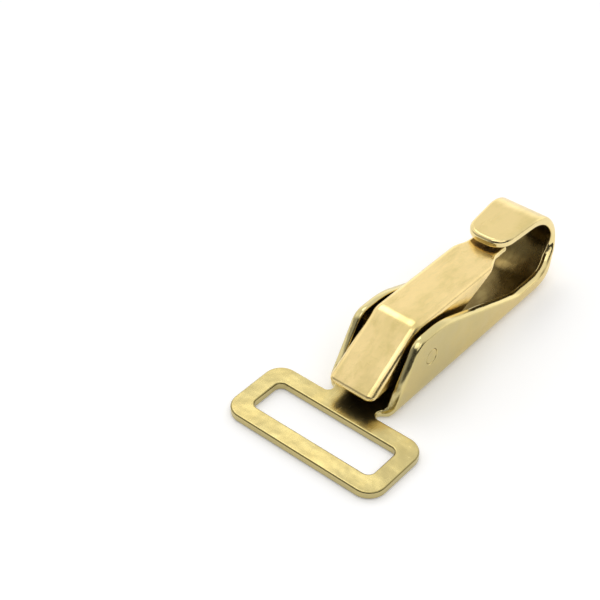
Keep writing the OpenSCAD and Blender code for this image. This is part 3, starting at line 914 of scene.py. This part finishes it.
class LeverPlan:
    """Places that follow from the lever's sizes, in side view, from the strap end."""

    def __init__(self, s, body):
        """Works the places out from the lever's sizes s and the body's plan."""
        self.s = s
        self.t = s.lever_t
        self.inner_depth = 0
        self.start = body.start
        self.body = body
        self.knee = np.array([body.pin_x - s.knee_back, s.knee_h])
        lap = np.array([body.tip_x, body.arm_under - s.gate_gap])
        fall = lap - self.knee
        self.tip_way = fall / np.linalg.norm(fall)
        self.thumb_way = np.array([math.cos(s.thumb_rise), math.sin(s.thumb_rise)])
        self.tip_normal = np.array([-self.tip_way[1], self.tip_way[0]])
        self.thumb_normal = np.array([-self.thumb_way[1], self.thumb_way[0]])
        half = math.acos(float(-self.thumb_way @ self.tip_way)) / 2
        inward = self.tip_way - self.thumb_way
        inward = inward / np.linalg.norm(inward)
        self.knee_centre = self.knee + inward * s.knee_r / math.sin(half)
        self.thumb_x = self.knee[0] - s.thumb_l
        self.gate_x = body.tip_x + s.tip_lap
        self.toe = np.array([self.thumb_x, self.knee[1] - math.tan(s.thumb_rise) * s.thumb_l])
        self.angles = [math.atan2(n[1], n[0]) for n in (self.thumb_normal, self.tip_normal)]
        knee_start = self.knee_centre + self.thumb_normal * s.knee_r
        self.knee_end = self.knee_centre + self.tip_normal * s.knee_r
        self.thumb_run = float(np.linalg.norm(knee_start - self.toe))
        self.knee_run = s.knee_r * (self.angles[0] - self.angles[1])
        tip_run = (self.gate_x - self.knee_end[0]) / self.tip_way[0]
        self.length = self.thumb_run + self.knee_run + tip_run
        self.fold_outer = s.lever_t + s.fold_r
        self.fold_mid = s.fold_r + s.lever_t / 2
        self.flat_half = s.lever_w / 2 - self.fold_outer
        self.flange_q = self.flat_half + self.fold_mid * math.pi / 2
        self.run_table = np.linspace(0, self.length, RUN_STEPS + 1)
        top, normal = self.top_line(self.run_table)
        self.fold_table = top - normal * self.fold_outer

    def top_line(self, run):
        """Point and outward normal of the lever's top line at a distance from the thumb end."""
        run = np.asarray(run, float)
        turn = np.clip((run - self.thumb_run) / self.s.knee_r, 0, self.knee_run / self.s.knee_r)
        a = self.angles[0] - turn
        normal = np.stack([np.cos(a), np.sin(a)], axis=-1)
        on_arc = self.knee_centre + normal * self.s.knee_r
        before = np.minimum(0, run - self.thumb_run)[..., None] * self.thumb_way
        after = np.maximum(0, run - self.thumb_run - self.knee_run)[..., None] * self.tip_way
        return on_arc + before + after, normal

    def form(self, run, q, w):
        """Folds the flanges down and bends the sheet over the knee."""
        top, normal = self.top_line(run)
        flare = np.maximum(0, self.knee[0] - top[:, 0]) / self.s.thumb_l * self.s.thumb_flare
        flat_half = self.flat_half + flare
        out = np.abs(q)
        by = np.clip((out - self.flat_half) / self.fold_mid, 0, math.pi / 2)
        drop = np.maximum(0, out - self.flange_q)
        radius = self.s.fold_r + w
        y = np.minimum(out, self.flat_half) * flat_half / self.flat_half + radius * np.sin(by)
        side = top - normal * self.fold_outer + normal * (radius * np.cos(by))[:, None]
        x = side[:, 0] + self.start
        return np.stack([x, np.copysign(1, q) * y, side[:, 1] - drop], axis=1)

    def on_flange(self, x, z):
        """Place on the flat blank of a point of the flange, given in side view."""
        run = float(np.interp(x, self.fold_table[:, 0], self.run_table))
        foot = float(np.interp(x, self.fold_table[:, 0], self.fold_table[:, 1]))
        return np.array([run, self.flange_q + foot - z])

    def on_top(self, x, q):
        """Place on the flat blank of a point of the top, ahead of the knee."""
        ahead = (x - self.knee_end[0]) / self.tip_way[0]
        return np.array([self.thumb_run + self.knee_run + ahead, q])

    def outline(self):
        """Edge line of half the blank, from the thumb end along the flange to the tongue."""
        s, body = self.s, self.body
        boss_r = body.pin_r + s.boss_wall
        floor = PIVOT.z - boss_r
        front_x = body.pin_x + s.front_share * (self.gate_x - body.pin_x)
        over = self.knee[1] + self.tip_way[1] / self.tip_way[0] * (front_x - self.knee[0])
        front = (front_x, over - s.lip_depth)
        lip_end = (front_x + s.lip_l, over - self.fold_outer)
        heel = (self.thumb_x + s.heel_l, floor)
        belly = (body.pin_x + boss_r, floor)
        lip = corner(belly, front, lip_end, s.lip_r)
        skirt = [heel, *corner(heel, belly, front, boss_r), *lip]
        lower = [self.on_flange(*p) for p in dense(skirt, FLANGE_STEP)]
        tongue = s.tongue_w / 2
        rise = [
            (front_x + s.shoulder_l, self.flat_half + s.shoulder_w),
            (front_x + s.neck_l, tongue + s.neck_w),
            (front_x + s.side_l, tongue),
            (self.gate_x - s.tongue_corner_r, tongue),
        ]
        rise = flowing([lower[-1], *(self.on_top(*p) for p in rise)], TONGUE_CHORDS)
        toe = (0, self.flange_q + self.fold_table[0][1] - floor)
        side, end = (self.length - 2 * s.tongue_corner_r, tongue), (self.length, 0)
        return [
            (0, 0),
            *corner((0, 0), toe, lower[1], s.thumb_corner_r),
            *lower[1:],
            *rise[1:-1],
            *corner(side, (self.length, tongue), end, s.tongue_corner_r),
            end,
        ]

    def pin_hole(self):
        """Edge line of the pin's hole in the flange, whose width on the blank grows downwards."""
        hole_r = self.body.pin_r + self.s.pin_gap
        ring = circle(self.body.pin_x, -PIVOT.z, hole_r, HOLE_CHORDS)
        return [self.on_flange(x, -down) for x, down in ring]

    def cuts(self):
        """Places along the blank and across it at which it has to be able to bend."""
        knee = np.linspace(self.thumb_run, self.thumb_run + self.knee_run, KNEE_CHORDS + 1)
        fold = (self.flange_q - self.flat_half) * np.linspace(0, 1, FOLD_CHORDS + 1)
        return knee, self.flat_half + fold


# Pieces that turn or wind


def skin(rings, sides):
    """Faces of a closed skin over rings of points, with a flat face at each end."""
    faces = [
        [low + k, low + (k + 1) % sides, low + sides + (k + 1) % sides, low + sides + k]
        for low in range(0, (rings - 1) * sides, sides)
        for k in range(sides)
    ]
    first = list(range(sides))
    return [*faces, first[::-1], [(rings - 1) * sides + k for k in first]]


def lathe(name, profile, sides, centre):
    """A piece turned about the pin's axis.

    profile has, for each ring, the place along the axis, the radius, and the normal's share
    along the axis and outwards.
    """
    points, shading = [], []
    for along, radius, n_along, n_out in profile:
        for c, s in circle(0, 0, 1, sides):
            points.append((centre.x + radius * c, along, centre.z + radius * s))
            shading.append((n_out * c, n_along, n_out * s))
    return made_piece(name, np.array(points), skin(len(profile), sides), np.array(shading))


def tube(name, path, radius, sides):
    """A round wire along a path, with rounded ends."""
    path = np.array(path)
    ways = np.gradient(path, axis=0)
    ways /= np.linalg.norm(ways, axis=1, keepdims=True)
    rings = [(at, way, 1, 0) for at, way in zip(path[1:-1], ways[1:-1])]
    for a in math.pi / 2 * np.arange(CAP_RINGS) / CAP_RINGS:
        back = radius * (1 - math.sin(a))
        rings.insert(0, (path[0] + ways[0] * back, ways[0], math.cos(a), -math.sin(a)))
        rings.append((path[-1] - ways[-1] * back, ways[-1], math.cos(a), math.sin(a)))
    points, shading = [], []
    for at, way, scale, lean in rings:
        side = np.array([0, 1, 0]) - way * way[1]
        side /= np.linalg.norm(side)
        other = np.cross(way, side)
        for c, s in circle(0, 0, 1, sides):
            out = side * c + other * s
            points.append(at + out * radius * scale)
            shading.append(out * scale + way * lean)
    return made_piece(name, np.array(points), skin(len(rings), sides), np.array(shading))


def pressed(name, plan, rims, hole_r, more_edges=()):
    """A piece pressed from one blank: its plan's outline, other edges and pin hole, then its folds.

    rims are the outer face's rounding, as edge() takes it, and the inner face's radius.
    """
    blank = Blank(plan.t, plan.inner_depth)
    for line in (plan.outline(), *more_edges):
        blank.edge(line, *rims)
    blank.edge(plan.pin_hole(), even_rim(hole_r), hole_r, closed=True)
    blank.fill()
    along, across = plan.cuts()
    blank.cut(across, "v")
    blank.cut(along, "u")
    return blank.folded(name, plan.form)


def dressed(piece, material, body, node):
    """Gives a piece its material and its body, and hides the node that it stands for."""
    piece.data.materials.append(material)
    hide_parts(node)
    if body:
        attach(piece, body)


# Operators


class CLIP_OT_body(bpy.types.Operator):
    """Press the body: loop, channel, ears and hook from one blank"""

    bl_idname = "clip.body"
    bl_label = "Body"

    def execute(self, context):
        """Folds and bends the body's blank and gives it its brass."""
        plan = BodyPlan(sizes())
        rims = (plan.outer_rim, sizes().rim_r)
        hole_r = lever_sizes().pin_rim_r
        piece = pressed("hook_body_pressed", plan, rims, hole_r, [plan.slot()])
        neck = plan.start + plan.loop_l
        # The body's brasses are darker copies of the brass, a painted shade, darkest at the strap end
        brasses_and_shade = (finish().shaded_hook_brass, BODY_PATCHES, neck, finish().shaded_loop_brass)
        brass = tumbled_brass("body_brass_tumbled", *brasses_and_shade)
        dressed(piece, brass, "hook", "hook_body")
        return {"FINISHED"}


class CLIP_OT_lever(bpy.types.Operator):
    """Press the lever: thumb plate, knee, flanges and tongue from one blank"""

    bl_idname = "clip.lever"
    bl_label = "Lever"

    def execute(self, context):
        """Folds and bends the lever's blank and gives it its brass."""
        s = lever_sizes()
        plan = LeverPlan(s, BodyPlan(sizes()))
        rims = (even_rim(s.outer_rim_r), s.rim_r)
        piece = pressed("lever_pressed", plan, rims, s.pin_rim_r)
        brasses_and_shade = (finish().brass, LEVER_PATCHES, plan.start + s.dull_shade_l)
        brass = tumbled_brass("lever_brass_tumbled", *brasses_and_shade)
        dressed(piece, brass, "lever", "lever")
        return {"FINISHED"}


class CLIP_OT_pin(bpy.types.Operator):
    """Turn the pivot pin, riveted flush with the ears"""

    bl_idname = "clip.pin"
    bl_label = "Pivot pin"

    def execute(self, context):
        """Turns the pin's profile from end to end and gives it its brass."""
        s = lever_sizes()
        end = PIN_HIGH.y - s.pin_sink
        radius = (PIN_HIGH.x - PIN_LOW.x) / 2 - s.pin_ease
        flat = radius - s.pin_rim_r
        profile = []
        for r in np.linspace(HUB_SHARE * flat, flat, DISH_RINGS):
            sunk = s.pin_dish * (1 - (r / radius) ** 2)
            profile.append((end - sunk, r, 1, -2 * s.pin_dish * r / radius**2))
        for a in np.linspace(0, math.pi / 2, DISH_RINGS + 1)[1:]:
            c, out = math.cos(a), math.sin(a)
            profile.append((end - s.pin_rim_r * (1 - c), flat + s.pin_rim_r * out, c, out))
        profile += [(-along, r, -n_along, n_out) for along, r, n_along, n_out in profile[::-1]]
        piece = lathe("pivot_pin_riveted", profile, PIN_SIDES, PIVOT)
        # The pin takes the darker loop brass, a painted shade
        brass = tumbled_brass("pin_brass_riveted", finish().shaded_loop_brass, PIN_PATCHES, PIVOT.x)
        dressed(piece, brass, "hook", "pivot_pin")
        return {"FINISHED"}


class CLIP_OT_spring(bpy.types.Operator):
    """Wind the torsion spring inside the lever, with a leg on each sheet"""

    bl_idname = "clip.spring"
    bl_label = "Return spring"

    def execute(self, context):
        """Winds the wire from leg to leg and gives it its steel."""
        s = lever_sizes()
        body = BodyPlan(sizes())
        plan = LeverPlan(s, body)
        wire_r = s.wire_d / 2
        pitch = s.wire_d + s.turn_gap
        space = s.lever_w - 2 * (s.lever_t + s.coil_side_gap) - s.wire_d
        turns = math.floor(space / pitch + 1 / 2)
        width = (turns - 1 / 2) * pitch
        coil_r = body.pin_r + s.coil_gap + wire_r
        top_z = plan.knee[1] + plan.tip_way[1] / plan.tip_way[0] * (s.leg_l + s.knee_back)
        low = np.array([s.leg_l, body.t + s.leg_gap + wire_r - PIVOT.z])
        high = np.array([s.leg_l, top_z - s.lever_t - s.leg_gap - wire_r - PIVOT.z])
        first = math.atan2(low[1], low[0]) - math.acos(coil_r / np.linalg.norm(low))
        last = math.atan2(high[1], high[0]) + math.acos(coil_r / np.linalg.norm(high))
        last -= 2 * math.pi * turns
        wound = np.linspace(0, 1, int((first - last) / COIL_STEP) + 1)
        a = first + (last - first) * wound
        coil = np.stack([coil_r * np.cos(a), width * (wound - 1 / 2), coil_r * np.sin(a)], axis=1)
        low_leg = np.linspace((low[0], -width / 2, low[1]), coil[0], LEG_CHORDS + 1)[:-1]
        high_leg = np.linspace(coil[-1], (high[0], width / 2, high[1]), LEG_CHORDS + 1)[1:]
        centre = np.array([PIVOT.x, 0, PIVOT.z])
        path = np.array([*low_leg, *coil, *high_leg]) + centre
        piece = tube("return_spring_wound", path, wire_r, WIRE_SIDES)
        dressed(piece, drawn_wire("spring_wire_drawn"), None, "return_spring")
        start, end = ((PIVOT.x, along, PIVOT.z) for along in (-width / 2, width / 2))
        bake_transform(piece)
        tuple(start)
        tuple(end)
        return {"FINISHED"}


# Soft lamps: name, place, width and height in metres, and power in watts
LAMPS = (
    ("overhead", (0.25, 0.40, 0.76), (0.36, 0.36), 0.6),
    ("left", (-0.28, -0.08, 0.58), (0.36, 0.36), 0.5),
    ("side", (-0.17, -0.42, 0.47), (0.40, 0.36), 0.5),
)

# The room, by the way looked in, whose X, Y and Z go from -1 to 1: how far the ceiling's light
# leans along and across the clip, the levels between which it and each wall fade, and their light
CEILING_LEAN, CEILING_EDGE = (0.9, 0.5), (0.1, 0.75)
FAR_TOP, FAR_EDGE, FAR_END = (0.5, 0.85), (-0.2, 0.4), (-0.4, 0.2)
HOOK_TOP, HOOK_EDGE = (0.2, 0.6), (0, 0.5)
CEILING_LIGHT, ROOM_LIGHT, FAR_LIGHT, HOOK_LIGHT = 0.9, 0.05, 0.34, 0.42

# Width of the camera's sensor in millimetres, and how near and how far it sees, in metres
SENSOR_W = 36
CAMERA_RANGE = (0.01, 10)


def softbox(name, at, size, power):
    """A soft lamp of a width and height in metres and a power in watts, which faces the clip."""
    lamp = bpy.data.lights.new(name, "AREA")
    lamp.shape = "RECTANGLE"
    lamp.size, lamp.size_y = size
    lamp.energy = power
    made = bpy.data.objects.new(name, lamp)
    made.location = at
    made.rotation_mode = "QUATERNION"
    made.rotation_quaternion = (-Vector(at)).to_track_quat("-Z", "Y")
    bpy.context.scene.collection.objects.link(made)


class CLIP_OT_studio(bpy.types.Operator):
    """Set up the pale floor, the soft lights and the camera"""

    bl_idname = "clip.studio"
    bl_label = "Studio"

    def execute(self, context):
        """Sets the floor, the lamps, the room and the camera up."""
        look = context.scene.clip_studio
        self.floor(look)
        self.sky(context)
        for lamp in LAMPS:
            softbox(*lamp)
        self.camera(context, look)
        context.scene.view_settings.view_transform = "Standard"
        return {"FINISHED"}

    def floor(self, look):
        """A round sheet of pale paper that keeps the clip's shadow and looks evenly lit."""
        ring = [(x, y, 0) for x, y in circle(0, 0, look.floor_r, FLOOR_SIDES)]
        floor = made_piece("floor", np.array(ring), [list(range(FLOOR_SIDES))])
        material = bpy.data.materials.new("floor_paper")
        shader = Shader(material)
        path = shader.node("ShaderNodeLightPath")
        camera, glossy, through = (
            shader.value(path.outputs[f"Is {kind} Ray"])
            for kind in ("Camera", "Glossy", "Transmission")
        )
        seen = (camera + glossy + through).at_most(1.0)
        shader.surface(
            Base_Color=look.floor_colour,
            Roughness=look.floor_roughness,
            Specular_IOR_Level=look.floor_gloss,
            Emission_Color=shader.mix(seen, (0, 0, 0), look.floor_glow),
            Emission_Strength=1.0,
        )
        floor.data.materials.append(material)

    def sky(self, context):
        """A pale room with a bright ceiling and two dim walls, dark on the camera's side."""
        world = bpy.data.worlds.new("studio_room")
        context.scene.world = world
        shader = Shader(world)
        way = shader.node("ShaderNodeTexCoord").outputs["Generated"]
        split = shader.node("ShaderNodeSeparateXYZ", None, way)
        along, across, height = (shader.value(split.outputs[axis]) for axis in "XYZ")
        ceiling = height + along * CEILING_LEAN[0] + across * CEILING_LEAN[1]
        far_wall = (1 - height.between(*FAR_TOP)) * across.between(*FAR_EDGE)
        far_wall = far_wall * (1 - along.between(*FAR_END))
        hook_wall = (1 - height.between(*HOOK_TOP)) * along.between(*HOOK_EDGE)
        strength = ceiling.between(*CEILING_EDGE) * CEILING_LIGHT + ROOM_LIGHT
        strength = strength + far_wall * FAR_LIGHT + hook_wall * HOOK_LIGHT
        background = shader.node("ShaderNodeBackground", Color=(1, 1, 1), Strength=strength)
        shader.node("ShaderNodeOutputWorld", None, background.outputs[0])

    def camera(self, context, look):
        """The camera at the photograph's place and viewing angle."""
        data = bpy.data.cameras.new("camera")
        data.sensor_width = SENSOR_W
        data.lens = look.lens
        data.clip_start, data.clip_end = CAMERA_RANGE
        made = bpy.data.objects.new("camera", data)
        pan, tilt, roll = look.camera_pan, look.camera_tilt, look.camera_roll
        level = math.cos(tilt)
        ahead = Vector((level * math.cos(pan), level * math.sin(pan), -math.sin(tilt)))
        right = Vector((math.sin(pan), -math.cos(pan), 0))
        up = right.cross(ahead)
        across = right * math.cos(roll) + up * math.sin(roll)
        upright = up * math.cos(roll) - right * math.sin(roll)
        turn = Matrix((across, upright, -ahead)).transposed()
        made.matrix_world = Matrix.Translation(look.camera_at) @ turn.to_4x4()
        context.scene.collection.objects.link(made)
        context.scene.camera = made


class CLIP_PT_panel(bpy.types.Panel):
    """Lists the clip's pieces and sizes"""

    bl_idname = "CLIP_PT_panel"
    bl_label = "Key clip"
    bl_space_type = "VIEW_3D"
    bl_region_type = "UI"
    bl_category = "Key clip"

    def draw(self, context):
        """Draws a button for each operator and a field for each value."""
        column = self.layout.column()
        for operator in OPERATORS:
            column.operator(operator.bl_idname)
        for group in GROUPS:
            values = getattr(context.scene, group)
            for name in values.__annotations__:
                column.prop(values, name)


GROUPS = {
    "clip_sizes": ClipSizes,
    "clip_lever": LeverSizes,
    "clip_finish": ClipFinish,
    "clip_studio": StudioLook,
}
OPERATORS = (CLIP_OT_body, CLIP_OT_lever, CLIP_OT_pin, CLIP_OT_spring, CLIP_OT_studio)


def register():
    """Registers the classes and hangs the groups of values on the scene."""
    for group in (*GROUPS.values(), *OPERATORS, CLIP_PT_panel):
        bpy.utils.register_class(group)
    for name, group in GROUPS.items():
        setattr(bpy.types.Scene, name, bpy.props.PointerProperty(type=group))


def unregister():
    """Takes back what register did."""
    for name in GROUPS:
        delattr(bpy.types.Scene, name)
    for group in (CLIP_PT_panel, *reversed(OPERATORS), *GROUPS.values()):
        bpy.utils.unregister_class(group)


def main():
    """Makes the clip and its studio."""
    register()
    bpy.ops.clip.body()
    bpy.ops.clip.lever()
    bpy.ops.clip.pin()
    bpy.ops.clip.spring()
    bpy.ops.clip.studio()


if __name__ == "__main__":
    main()
